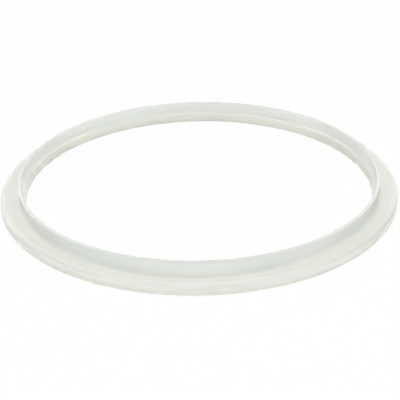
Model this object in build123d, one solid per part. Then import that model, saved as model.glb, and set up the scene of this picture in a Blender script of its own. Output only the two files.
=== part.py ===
from build123d import *
import os
from math import atan, degrees

# Pressure cooker gasket: one ring of translucent silicone, moulded in one piece.
# It is one section turned about +Z: a flat-bottomed flange that seats in the lid, with a
# thicker rounded bead along its outer edge, and at its inner edge a thin upright lip that
# leans outward and thins towards its rim.
# Millimetres. The origin is the ring's centre, on the flat underside of the flange.

# Inner side: the bore at the underside sets the size of the whole ring
base_bore_diameter = 213.0
inner_base_round = 0.8

# Flange, from the bore outward, and the bead along its outer edge
flange_width = 15.5
flange_thickness = 4.1
bead_width = 4.0
bead_rise = 1.7
bead_edge_round = 2.8
bead_blend_round = 5.0
outer_base_round = 0.7

# Lip
ring_height = 13.9
rim_overhang = 2.3
lip_rim_thickness = 2.0
lip_root_thickness = 3.1
lip_root_fillet = 3.0
rim_round = 0.85

# Sizes that follow from those above
outer_diameter = base_bore_diameter + 2 * flange_width
rim_bore_diameter = base_bore_diameter + 2 * rim_overhang
bead_height = flange_thickness + bead_rise
lip_slope = rim_overhang / ring_height

# A rounding takes at most this share of the room beside its corner
largest_round_share = 0.97


def bore_radius_at(height):
    """Radius of the sloping inner side at a height above the underside."""
    return base_bore_diameter / 2 + lip_slope * height


def rounded(section, corner, size, room):
    """Round the section's corner at a radius and a height."""
    target = Vector(corner[0], 0, corner[1])
    vertex = section.vertices().sort_by_distance(target)[0]
    return fillet(vertex, min(size, largest_round_share * room))


def ring_section():
    """Half section in the XZ plane: flange with its bead, and the lip."""
    outer_radius = outer_diameter / 2
    base_inner = (base_bore_diameter / 2, 0)
    base_outer = (outer_radius, 0)
    bead_outer = (outer_radius, bead_height)
    bead_inner = (outer_radius - bead_width, bead_height)
    lip_root = (bore_radius_at(flange_thickness) + lip_root_thickness, flange_thickness)
    rim_inner = (rim_bore_diameter / 2, ring_height)
    rim_outer = (rim_inner[0] + lip_rim_thickness, ring_height)

    corners = [base_inner, base_outer, bead_outer, bead_inner, lip_root, rim_outer, rim_inner]
    outline = Polyline([(radius, 0, height) for radius, height in corners], close=True)
    section = make_face(outline)

    slope_length = bead_inner[0] - lip_root[0]
    lip_height = ring_height - flange_thickness
    root_room = min(slope_length, lip_height) / 2
    bead_room = min(bead_width * 3 / 4, bead_height / 2)
    section = rounded(section, lip_root, lip_root_fillet, root_room)
    section = rounded(section, bead_inner, bead_blend_round, slope_length)
    section = rounded(section, bead_outer, bead_edge_round, bead_room)
    section = rounded(section, base_outer, outer_base_round, bead_height / 2)
    section = rounded(section, base_inner, inner_base_round, flange_thickness / 2)
    section = rounded(section, rim_outer, rim_round, lip_rim_thickness / 2)
    section = rounded(section, rim_inner, rim_round, lip_rim_thickness / 2)
    return section


def gasket_ring():
    """The moulded ring: its section turned once about the axis."""
    return revolve(ring_section(), axis=Axis.Z, revolution_arc=360)


ring = gasket_ring()
print("outer diameter", round(outer_diameter, 2), "rim bore", round(rim_bore_diameter, 2))
print("lip leans outward", round(degrees(atan(lip_slope)), 1), "degrees")
print("volume", round(ring.volume / 1000, 1), "cubic centimetres")

os.makedirs("parts", exist_ok=True)
export_step(ring, "parts/gasket_ring.step")
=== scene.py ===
from math import cos, pi, radians, sin

import bpy
from mathutils import Matrix, Quaternion, Vector


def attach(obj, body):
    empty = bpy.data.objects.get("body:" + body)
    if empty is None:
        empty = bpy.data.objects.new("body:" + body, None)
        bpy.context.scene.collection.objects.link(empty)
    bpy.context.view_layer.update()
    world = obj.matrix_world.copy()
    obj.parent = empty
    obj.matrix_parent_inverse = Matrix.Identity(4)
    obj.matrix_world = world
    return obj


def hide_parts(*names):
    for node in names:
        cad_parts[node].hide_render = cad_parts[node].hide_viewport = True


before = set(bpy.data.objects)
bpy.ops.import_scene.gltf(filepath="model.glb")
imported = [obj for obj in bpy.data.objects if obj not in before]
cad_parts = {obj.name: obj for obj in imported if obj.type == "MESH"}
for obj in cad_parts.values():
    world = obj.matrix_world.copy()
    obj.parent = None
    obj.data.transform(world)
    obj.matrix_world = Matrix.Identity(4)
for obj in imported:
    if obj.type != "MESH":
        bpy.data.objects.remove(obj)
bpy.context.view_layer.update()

# Pressure cooker gasket: one moulded ring of translucent silicone on a white table.
# Metres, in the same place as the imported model: the ring's centre is the origin, on the table.

MM = 0.001

# Section of the ring, the same sizes as the solid
BORE_DIAMETER = 213.0 * MM
FLANGE_WIDTH = 15.5 * MM
FLANGE_THICKNESS = 4.1 * MM
BEAD_WIDTH = 4.0 * MM
BEAD_RISE = 1.7 * MM
RING_HEIGHT = 13.9 * MM
RIM_OVERHANG = 2.3 * MM
RIM_THICKNESS = 2.0 * MM
ROOT_THICKNESS = 3.1 * MM

# Roundings of the section's corners
BASE_INNER_ROUND = 0.8 * MM
BASE_OUTER_ROUND = 0.7 * MM
BEAD_EDGE_ROUND = 2.8 * MM
BEAD_BLEND_ROUND = 5.0 * MM
LIP_ROOT_FILLET = 3.0 * MM
RIM_ROUND = 0.85 * MM

# Soft rubber comes out of the mould a little uneven, and shrinks by that much
UNEVENNESS = 0.12 * MM
UNEVEN_PATCH = 22 * MM
UNEVEN_SEED = 4.0

# Fineness of the mesh
STEPS_ROUND = 600
STEPS_PER_CORNER = 6
FACE_LENGTH = 0.9 * MM

# Camera
CAMERA_REACH = 0.610
CAMERA_ELEVATION = 26.98
CAMERA_PAN = -0.04
CAMERA_TILT = -0.66
CAMERA_ROLL = 1.17
LENS = 87.84
SENSOR_WIDTH = 36.0

# Colours of the silicone, some of them with painted light and shade
MILK = "#F4FBF3"
PALE_MILK = "#FAFFF8"
# Painted glow: the foot lighter and yellow, for light that has gone through the rubber
FOOT_PAINTED_GLOW = "#FFFFE8"
# Painted light: the lip's inside lighter
LIP_INSIDE_PAINTED_LIGHT = "#FCFFFA"
# Painted shade: the lip's outer side darker
LIP_OUTSIDE_PAINTED_SHADE = "#E4EDE6"
RIM_MILK = "#E3E8DE"
# Painted shade: the bore's foot darker
BORE_FOOT_PAINTED_SHADE = "#DDDED3"

# Where the silicone's look changes: the start and the end of each change
FOOT_HEIGHTS = (4.6 * MM, 0.0)
FLANGE_EDGE_RADII = (117.5 * MM, 121.0 * MM)
LIP_HEIGHTS = (5.0 * MM, 7.5 * MM)
LIP_OUTSIDE_RADII = (109.2 * MM, 110.0 * MM)
RIM_HEIGHTS = (12.6 * MM, 13.2 * MM)
BORE_FOOT_HEIGHTS = (7.0 * MM, 5.0 * MM)
BORE_RADII = (108.6 * MM, 107.7 * MM)

# How much of the silicone's skin is there to the eye, and how clear the rubber is
COVER = 0.85
OUTER_FOOT_COVER = 0.60
CLEARNESS = 0.7
RIM_CLEARNESS = 0.25

# Patterns in and on the silicone
CLOUD = 9 * MM
MOULD_GRAIN = 0.8 * MM
MOULD_GRAIN_DEPTH = 0.1 * MM
SMOOTHEST = 0.30
ROUGHEST = 0.42

# Table and light
TABLE_REACH = 6.0
WHITE_SHARE = 0.96
ROOM_LIGHT = 0.32
SOFTBOX_WIDTH = 0.8
SOFTBOX_HEIGHT = 0.5


def linear(hex_colour):
    """An sRGB hex colour as the linear colour that a shader takes."""
    shares = [int(hex_colour[i:i + 2], 16) / 255 for i in (1, 3, 5)]
    return tuple(s / 12.92 if s <= 0.04045 else ((s + 0.055) / 1.055) ** 2.4 for s in shares) + (1.0,)


def add_node(tree, kind, inputs=(), **settings):
    """A new node with its settings, and with its inputs as values or as other nodes' outputs."""
    node = tree.nodes.new(kind)
    for name, value in settings.items():
        setattr(node, name, value)
    for name, value in dict(inputs).items():
        if isinstance(value, bpy.types.NodeSocket):
            tree.links.new(value, node.inputs[name])
        else:
            node.inputs[name].default_value = value
    return node


# Silicone

def silicone_material():
    """Milky translucent silicone rubber, moulded: light goes in, so its shadows are soft and
    some of what is behind it comes through. Its skin has a soft gloss. The foot has a painted
    yellow glow, the lip's inside has painted light, the lip's outer side and the bore's foot
    have painted shade, and the rim is milky with the light caught in it."""
    material = bpy.data.materials.new("translucent_silicone_rubber")
    material.use_nodes = True
    tree = material.node_tree
    tree.nodes.clear()
    place = add_node(tree, "ShaderNodeTexCoord").outputs["Object"]
    height = add_node(tree, "ShaderNodeSeparateXYZ", {"Vector": place}).outputs["Z"]
    flat = add_node(tree, "ShaderNodeVectorMath", {0: place, 1: (1, 1, 0)},
                    operation="MULTIPLY").outputs["Vector"]
    radius = add_node(tree, "ShaderNodeVectorMath", {0: flat}, operation="LENGTH").outputs["Value"]

    def from_to(value, ends, kind="LINEAR"):
        """0 as far as the first end, 1 from the second end on, and a change between them."""
        return add_node(tree, "ShaderNodeMapRange", {
            "Value": value, "From Min": ends[0], "From Max": ends[1]},
            interpolation_type=kind).outputs["Result"]

    def both(a, b):
        """The overlap of two places."""
        return add_node(tree, "ShaderNodeMath", {0: a, 1: b}, operation="MULTIPLY").outputs["Value"]

    def tinted(factor, colour, other):
        """A colour that turns into another one where the factor is 1."""
        return add_node(tree, "ShaderNodeMix", {
            "Factor": factor, "A": colour, "B": other}, data_type="RGBA").outputs["Result"]

    def level(factor, value, other):
        """A number that turns into another one where the factor is 1."""
        return add_node(tree, "ShaderNodeMapRange", {
            "Value": factor, "To Min": value, "To Max": other}).outputs["Result"]

    # Places on the ring, 1 there and 0 elsewhere
    foot = from_to(height, FOOT_HEIGHTS, "SMOOTHSTEP")
    outer_foot = both(foot, from_to(radius, FLANGE_EDGE_RADII))
    lip = from_to(height, LIP_HEIGHTS, "SMOOTHSTEP")
    lip_outside = from_to(radius, LIP_OUTSIDE_RADII)
    rim = from_to(height, RIM_HEIGHTS)
    # Where the bore's foot gets painted shade
    bore_foot_painted_shade = both(from_to(height, BORE_FOOT_HEIGHTS, "SMOOTHSTEP"), from_to(radius, BORE_RADII))

    # Milky clouds in the rubber
    clouds = add_node(tree, "ShaderNodeTexNoise", {
        "Vector": place, "Scale": 1 / CLOUD, "Detail": 3.0, "Roughness": 0.55}).outputs["Fac"]
    milk = tinted(clouds, linear(MILK), linear(PALE_MILK))

    # Painted glow at the foot: lighter and yellow, for the light that has gone through the most
    # rubber. Painted light on the lip's inside and painted shade on its outer side. Painted shade
    # at the bore's foot, which has the whole flange behind it.
    # Painted light on the lip's inside, painted shade on its outer side
    lip_colour_with_painted_light_and_shade = tinted(lip_outside, linear(LIP_INSIDE_PAINTED_LIGHT), linear(LIP_OUTSIDE_PAINTED_SHADE))
    lip_colour_with_painted_light_and_shade = tinted(rim, lip_colour_with_painted_light_and_shade, linear(RIM_MILK))
    # Painted glow: the foot is lighter and yellower
    colour = tinted(foot, milk, linear(FOOT_PAINTED_GLOW))
    colour = tinted(lip, colour, lip_colour_with_painted_light_and_shade)
    # Painted shade at the bore's foot
    colour = tinted(bore_foot_painted_shade, colour, linear(BORE_FOOT_PAINTED_SHADE))

    # The white table shows through the outer foot the most, and the rim is the milkiest
    cover = add_node(tree, "ShaderNodeMath", {0: level(outer_foot, COVER, OUTER_FOOT_COVER), 1: rim},
                     operation="MAXIMUM").outputs["Value"]
    clearness = level(rim, CLEARNESS, RIM_CLEARNESS)

    # Fine texture of the mould's blasted steel. The real one is about 0.5 mm across, too fine
    # to show, so it is drawn a little coarser.
    grain = add_node(tree, "ShaderNodeTexNoise", {
        "Vector": place, "Scale": 1 / MOULD_GRAIN, "Detail": 2.0}).outputs["Fac"]
    bump = add_node(tree, "ShaderNodeBump", {
        "Height": grain, "Strength": 0.08, "Distance": MOULD_GRAIN_DEPTH})

    shader = add_node(tree, "ShaderNodeBsdfPrincipled", {
        "Base Color": colour,
        "Roughness": level(grain, SMOOTHEST, ROUGHEST),
        "IOR": 1.41,
        "Coat Weight": 0.7,
        "Coat Roughness": 0.12,
        "Coat IOR": 1.41,
        "Alpha": cover,
        "Normal": bump.outputs["Normal"],
        "Transmission Weight": clearness,
        "Subsurface Weight": 1.0,
        "Subsurface Radius": (1.0, 1.0, 0.9),
        "Subsurface Scale": 8.0 * MM}, subsurface_method="RANDOM_WALK")
    add_node(tree, "ShaderNodeOutputMaterial", {"Surface": shader.outputs["BSDF"]})
    return material


# Ring

SIZES = {
    "Bore Radius": BORE_DIAMETER / 2,
    "Flange Width": FLANGE_WIDTH,
    "Flange Thickness": FLANGE_THICKNESS,
    "Bead Width": BEAD_WIDTH,
    "Bead Rise": BEAD_RISE,
    "Ring Height": RING_HEIGHT,
    "Rim Overhang": RIM_OVERHANG,
    "Rim Thickness": RIM_THICKNESS,
    "Root Thickness": ROOT_THICKNESS,
    "Base Inner Round": BASE_INNER_ROUND,
    "Base Outer Round": BASE_OUTER_ROUND,
    "Bead Edge Round": BEAD_EDGE_ROUND,
    "Bead Blend Round": BEAD_BLEND_ROUND,
    "Lip Root Fillet": LIP_ROOT_FILLET,
    "Rim Round": RIM_ROUND,
    "Unevenness": UNEVENNESS,
    "Uneven Patch": UNEVEN_PATCH,
    "Face Length": FACE_LENGTH,
}


def ring_tree(material):
    """Geometry nodes that turn the rounded section once about the axis."""
    tree = bpy.data.node_groups.new("turned_ring", "GeometryNodeTree")
    tree.interface.new_socket("Geometry", in_out="OUTPUT", socket_type="NodeSocketGeometry")
    for name, size in SIZES.items():
        socket = tree.interface.new_socket(name, in_out="INPUT", socket_type="NodeSocketFloat")
        socket.default_value = size
    given = add_node(tree, "NodeGroupInput").outputs

    def maths(operation, a, b):
        """The result of one sum on two lengths."""
        return add_node(tree, "ShaderNodeMath", {0: a, 1: b}, operation=operation).outputs["Value"]

    def corner(radius, height):
        """A corner of the section; the turning takes its second axis downward."""
        down = maths("MULTIPLY", height, -1.0)
        return add_node(tree, "ShaderNodeCombineXYZ", {"X": radius, "Y": down}).outputs["Vector"]

    def by_corner(kind, values):
        """A value for each corner, in the order of the corners."""
        switch = add_node(tree, "GeometryNodeIndexSwitch", data_type=kind)
        while len(switch.index_switch_items) < len(values):
            switch.index_switch_items.new()
        index = add_node(tree, "GeometryNodeInputIndex").outputs["Index"]
        tree.links.new(index, switch.inputs["Index"])
        for place, value in enumerate(values):
            tree.links.new(value, switch.inputs[place + 1])
        return switch.outputs["Output"]

    # Corners, with radii counted from the bore's edge at the underside
    nothing = 0.0
    flange_out = given["Flange Width"]
    bead_top = maths("ADD", given["Flange Thickness"], given["Bead Rise"])
    bead_in = maths("SUBTRACT", flange_out, given["Bead Width"])
    lean = maths("DIVIDE", given["Rim Overhang"], given["Ring Height"])
    root_in = maths("MULTIPLY", lean, given["Flange Thickness"])
    root_out = maths("ADD", root_in, given["Root Thickness"])
    rim_out = maths("ADD", given["Rim Overhang"], given["Rim Thickness"])
    corners = by_corner("VECTOR", [
        corner(nothing, nothing),
        corner(flange_out, nothing),
        corner(flange_out, bead_top),
        corner(bead_in, bead_top),
        corner(root_out, given["Flange Thickness"]),
        corner(rim_out, given["Ring Height"]),
        corner(given["Rim Overhang"], given["Ring Height"])])
    roundings = by_corner("FLOAT", [
        given["Base Inner Round"],
        given["Base Outer Round"],
        given["Bead Edge Round"],
        given["Bead Blend Round"],
        given["Lip Root Fillet"],
        given["Rim Round"],
        given["Rim Round"]])

    # Rounded section, with points along its straight sides
    line = add_node(tree, "GeometryNodeMeshLine", {"Count": 7})
    placed = add_node(tree, "GeometryNodeSetPosition", {
        "Geometry": line.outputs["Mesh"], "Position": corners})
    curve = add_node(tree, "GeometryNodeMeshToCurve", {"Mesh": placed.outputs["Geometry"]})
    closed = add_node(tree, "GeometryNodeSetSplineCyclic", {
        "Geometry": curve.outputs["Curve"], "Cyclic": True})
    rounded = add_node(tree, "GeometryNodeFilletCurve", {
        "Curve": closed.outputs["Geometry"], "Radius": roundings, "Count": STEPS_PER_CORNER}, mode="POLY")
    here = add_node(tree, "GeometryNodeInputPosition").outputs["Position"]
    next_point = add_node(tree, "GeometryNodeOffsetPointInCurve", {"Offset": 1}).outputs["Point Index"]
    there = add_node(tree, "GeometryNodeFieldAtIndex", {"Index": next_point, "Value": here},
                     data_type="FLOAT_VECTOR").outputs["Value"]
    run = add_node(tree, "ShaderNodeVectorMath", {0: here, 1: there}, operation="DISTANCE").outputs["Value"]
    faces = maths("DIVIDE", run, given["Face Length"])
    cuts = add_node(tree, "FunctionNodeFloatToInt", {"Float": faces},
                    rounding_mode="FLOOR").outputs["Integer"]
    section = add_node(tree, "GeometryNodeSubdivideCurve", {
        "Curve": rounded.outputs["Curve"], "Cuts": cuts})

    # Turned about the axis, with its faces outward
    circle = add_node(tree, "GeometryNodeCurvePrimitiveCircle", {
        "Resolution": STEPS_ROUND, "Radius": given["Bore Radius"]})
    turned = add_node(tree, "GeometryNodeCurveToMesh", {
        "Curve": circle.outputs["Curve"], "Profile Curve": section.outputs["Curve"]})
    solid = add_node(tree, "GeometryNodeFlipFaces", {"Mesh": turned.outputs["Mesh"]})

    # Unevenness of soft rubber, always inward
    fineness = maths("DIVIDE", 1.0, given["Uneven Patch"])
    noise = add_node(tree, "ShaderNodeTexNoise", {
        "Vector": here, "Scale": fineness, "Detail": 1.0, "W": UNEVEN_SEED},
        noise_dimensions="4D").outputs["Fac"]
    depth = maths("MULTIPLY", noise, given["Unevenness"])
    inward = maths("MULTIPLY", depth, -1.0)
    outward = add_node(tree, "GeometryNodeInputNormal").outputs["Normal"]
    shift = add_node(tree, "ShaderNodeVectorMath", {0: outward, "Scale": inward},
                     operation="SCALE").outputs["Vector"]
    uneven = add_node(tree, "GeometryNodeSetPosition", {
        "Geometry": solid.outputs["Mesh"], "Offset": shift})

    smooth = add_node(tree, "GeometryNodeSetShadeSmooth", {"Geometry": uneven.outputs["Geometry"]})
    real = add_node(tree, "GeometryNodeRealizeInstances", {"Geometry": smooth.outputs["Geometry"]})
    finished = add_node(tree, "GeometryNodeSetMaterial", {
        "Geometry": real.outputs["Geometry"], "Material": material})
    add_node(tree, "NodeGroupOutput", {"Geometry": finished.outputs["Geometry"]})
    return tree


def silicone_ring():
    """The ring as a plain mesh at the origin."""
    blank = bpy.data.meshes.new("ring_blank")
    ring = bpy.data.objects.new("silicone_ring", blank)
    bpy.context.scene.collection.objects.link(ring)
    tree = ring_tree(silicone_material())
    modifier = ring.modifiers.new("turned_ring", "NODES")
    modifier.node_group = tree
    sockets = {s.name: s.identifier for s in tree.interface.items_tree if s.in_out == "INPUT"}
    for name, size in SIZES.items():
        modifier[sockets[name]] = size
    bpy.context.view_layer.update()
    seen = ring.evaluated_get(bpy.context.evaluated_depsgraph_get())
    ring.data = bpy.data.meshes.new_from_object(seen)
    ring.modifiers.clear()
    ring.data.name = "silicone_ring"
    return ring


ring = silicone_ring()
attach(ring, "root")
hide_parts("gasket_ring")


# Table and light

def white_for_the_eye(tree):
    """1 for rays that come from the camera or from a reflection or glass, and 0 for other light."""
    path = add_node(tree, "ShaderNodeLightPath").outputs
    seen = add_node(tree, "ShaderNodeMath", {0: path["Is Camera Ray"], 1: path["Is Glossy Ray"]},
                    operation="MAXIMUM").outputs["Value"]
    return add_node(tree, "ShaderNodeMath", {0: seen, 1: path["Is Transmission Ray"]},
                    operation="MAXIMUM").outputs["Value"]


def table_material():
    """White matt paper: pure white to the eye, with a faint share of its real shade, which
    keeps the ring's soft shadow. Clear from below, so that the underside can be looked at."""
    material = bpy.data.materials.new("white_matt_paper")
    material.use_nodes = True
    tree = material.node_tree
    tree.nodes.clear()
    eye = white_for_the_eye(tree)
    share = add_node(tree, "ShaderNodeMath", {0: eye, 1: WHITE_SHARE}, operation="MULTIPLY").outputs["Value"]
    paper = add_node(tree, "ShaderNodeBsdfDiffuse", {"Color": linear("#FAFAFA")}).outputs["BSDF"]
    white = add_node(tree, "ShaderNodeEmission", {
        "Color": linear("#FFFFFF"), "Strength": 1.0}).outputs["Emission"]
    top = add_node(tree, "ShaderNodeMixShader", {0: share, 1: paper, 2: white}).outputs["Shader"]
    below = add_node(tree, "ShaderNodeNewGeometry").outputs["Backfacing"]
    clear = add_node(tree, "ShaderNodeBsdfTransparent").outputs["BSDF"]
    sides = add_node(tree, "ShaderNodeMixShader", {0: below, 1: top, 2: clear}).outputs["Shader"]
    add_node(tree, "ShaderNodeOutputMaterial", {"Surface": sides})
    return material


def table():
    """A wide flat sheet under the ring."""
    mesh = bpy.data.meshes.new("table")
    corners = [(x * TABLE_REACH, y * TABLE_REACH, 0) for x, y in ((-1, -1), (1, -1), (1, 1), (-1, 1))]
    mesh.from_pydata(corners, [], [(0, 1, 2, 3)])
    mesh.materials.append(table_material())
    sheet = bpy.data.objects.new("table", mesh)
    bpy.context.scene.collection.objects.link(sheet)
    return sheet


def surroundings(level):
    """Even white light from all round."""
    world = bpy.data.worlds.new("white_room")
    world.use_nodes = True
    tree = world.node_tree
    tree.nodes.clear()
    light = add_node(tree, "ShaderNodeBackground", {
        "Color": linear("#FFFFFF"), "Strength": level}).outputs["Background"]
    white = add_node(tree, "ShaderNodeBackground", {
        "Color": linear("#FFFFFF"), "Strength": 1.0}).outputs["Background"]
    room = add_node(tree, "ShaderNodeMixShader", {
        0: white_for_the_eye(tree), 1: light, 2: white}).outputs["Shader"]
    add_node(tree, "ShaderNodeOutputWorld", {"Surface": room})
    bpy.context.scene.world = world


def softbox(name, place, brightness):
    """A large soft lamp that faces the ring; its brightness is that of its white face."""
    lamp = bpy.data.lights.new(name, "AREA")
    lamp.shape = "RECTANGLE"
    lamp.size = SOFTBOX_WIDTH
    lamp.size_y = SOFTBOX_HEIGHT
    lamp.energy = brightness * pi * SOFTBOX_WIDTH * SOFTBOX_HEIGHT
    holder = bpy.data.objects.new(name, lamp)
    holder.location = place
    holder.rotation_mode = "QUATERNION"
    holder.rotation_quaternion = (-Vector(place)).to_track_quat("-Z", "Y")
    bpy.context.scene.collection.objects.link(holder)


table()
surroundings(ROOM_LIGHT)
softbox("left_low_softbox", (-1.417, -0.38, 0.312), 5.6)
softbox("right_low_softbox", (1.417, -0.38, 0.312), 5.2)
softbox("left_front_softbox", (-0.812, -0.812, 0.964), 2.7)
softbox("right_front_softbox", (0.75, -0.75, 1.06), 3.0)
softbox("left_high_softbox", (-0.92, 0.0, 1.18), 0.8)
softbox("right_high_softbox", (0.92, 0.0, 1.18), 2.1)
softbox("left_back_softbox", (-1.041, 0.874, 0.634), 1.3)
softbox("back_softbox", (0.0, 1.09, 1.03), 1.4)


# Camera

def camera():
    """Looks down on the ring from the front, with the small turns of a hand-held camera."""
    rise = radians(CAMERA_ELEVATION)
    place = CAMERA_REACH * Vector((0, -cos(rise), sin(rise)))
    forward = -place.normalized()
    right = Vector((1, 0, 0))
    up = right.cross(forward)
    pan = Quaternion(up, radians(CAMERA_PAN))
    forward, right = pan @ forward, pan @ right
    tilt = Quaternion(right, radians(CAMERA_TILT))
    forward, up = tilt @ forward, tilt @ up
    roll = Quaternion(forward, radians(CAMERA_ROLL))
    right, up = roll @ right, roll @ up
    lens = bpy.data.cameras.new("camera")
    lens.lens = LENS
    lens.sensor_width = SENSOR_WIDTH
    lens.sensor_fit = "HORIZONTAL"
    holder = bpy.data.objects.new("camera", lens)
    turned = Matrix((right, up, -forward)).transposed().to_4x4()
    holder.matrix_world = Matrix.Translation(place) @ turned
    bpy.context.scene.collection.objects.link(holder)
    return holder


bpy.context.scene.camera = camera()
bpy.context.scene.view_settings.view_transform = "Standard"
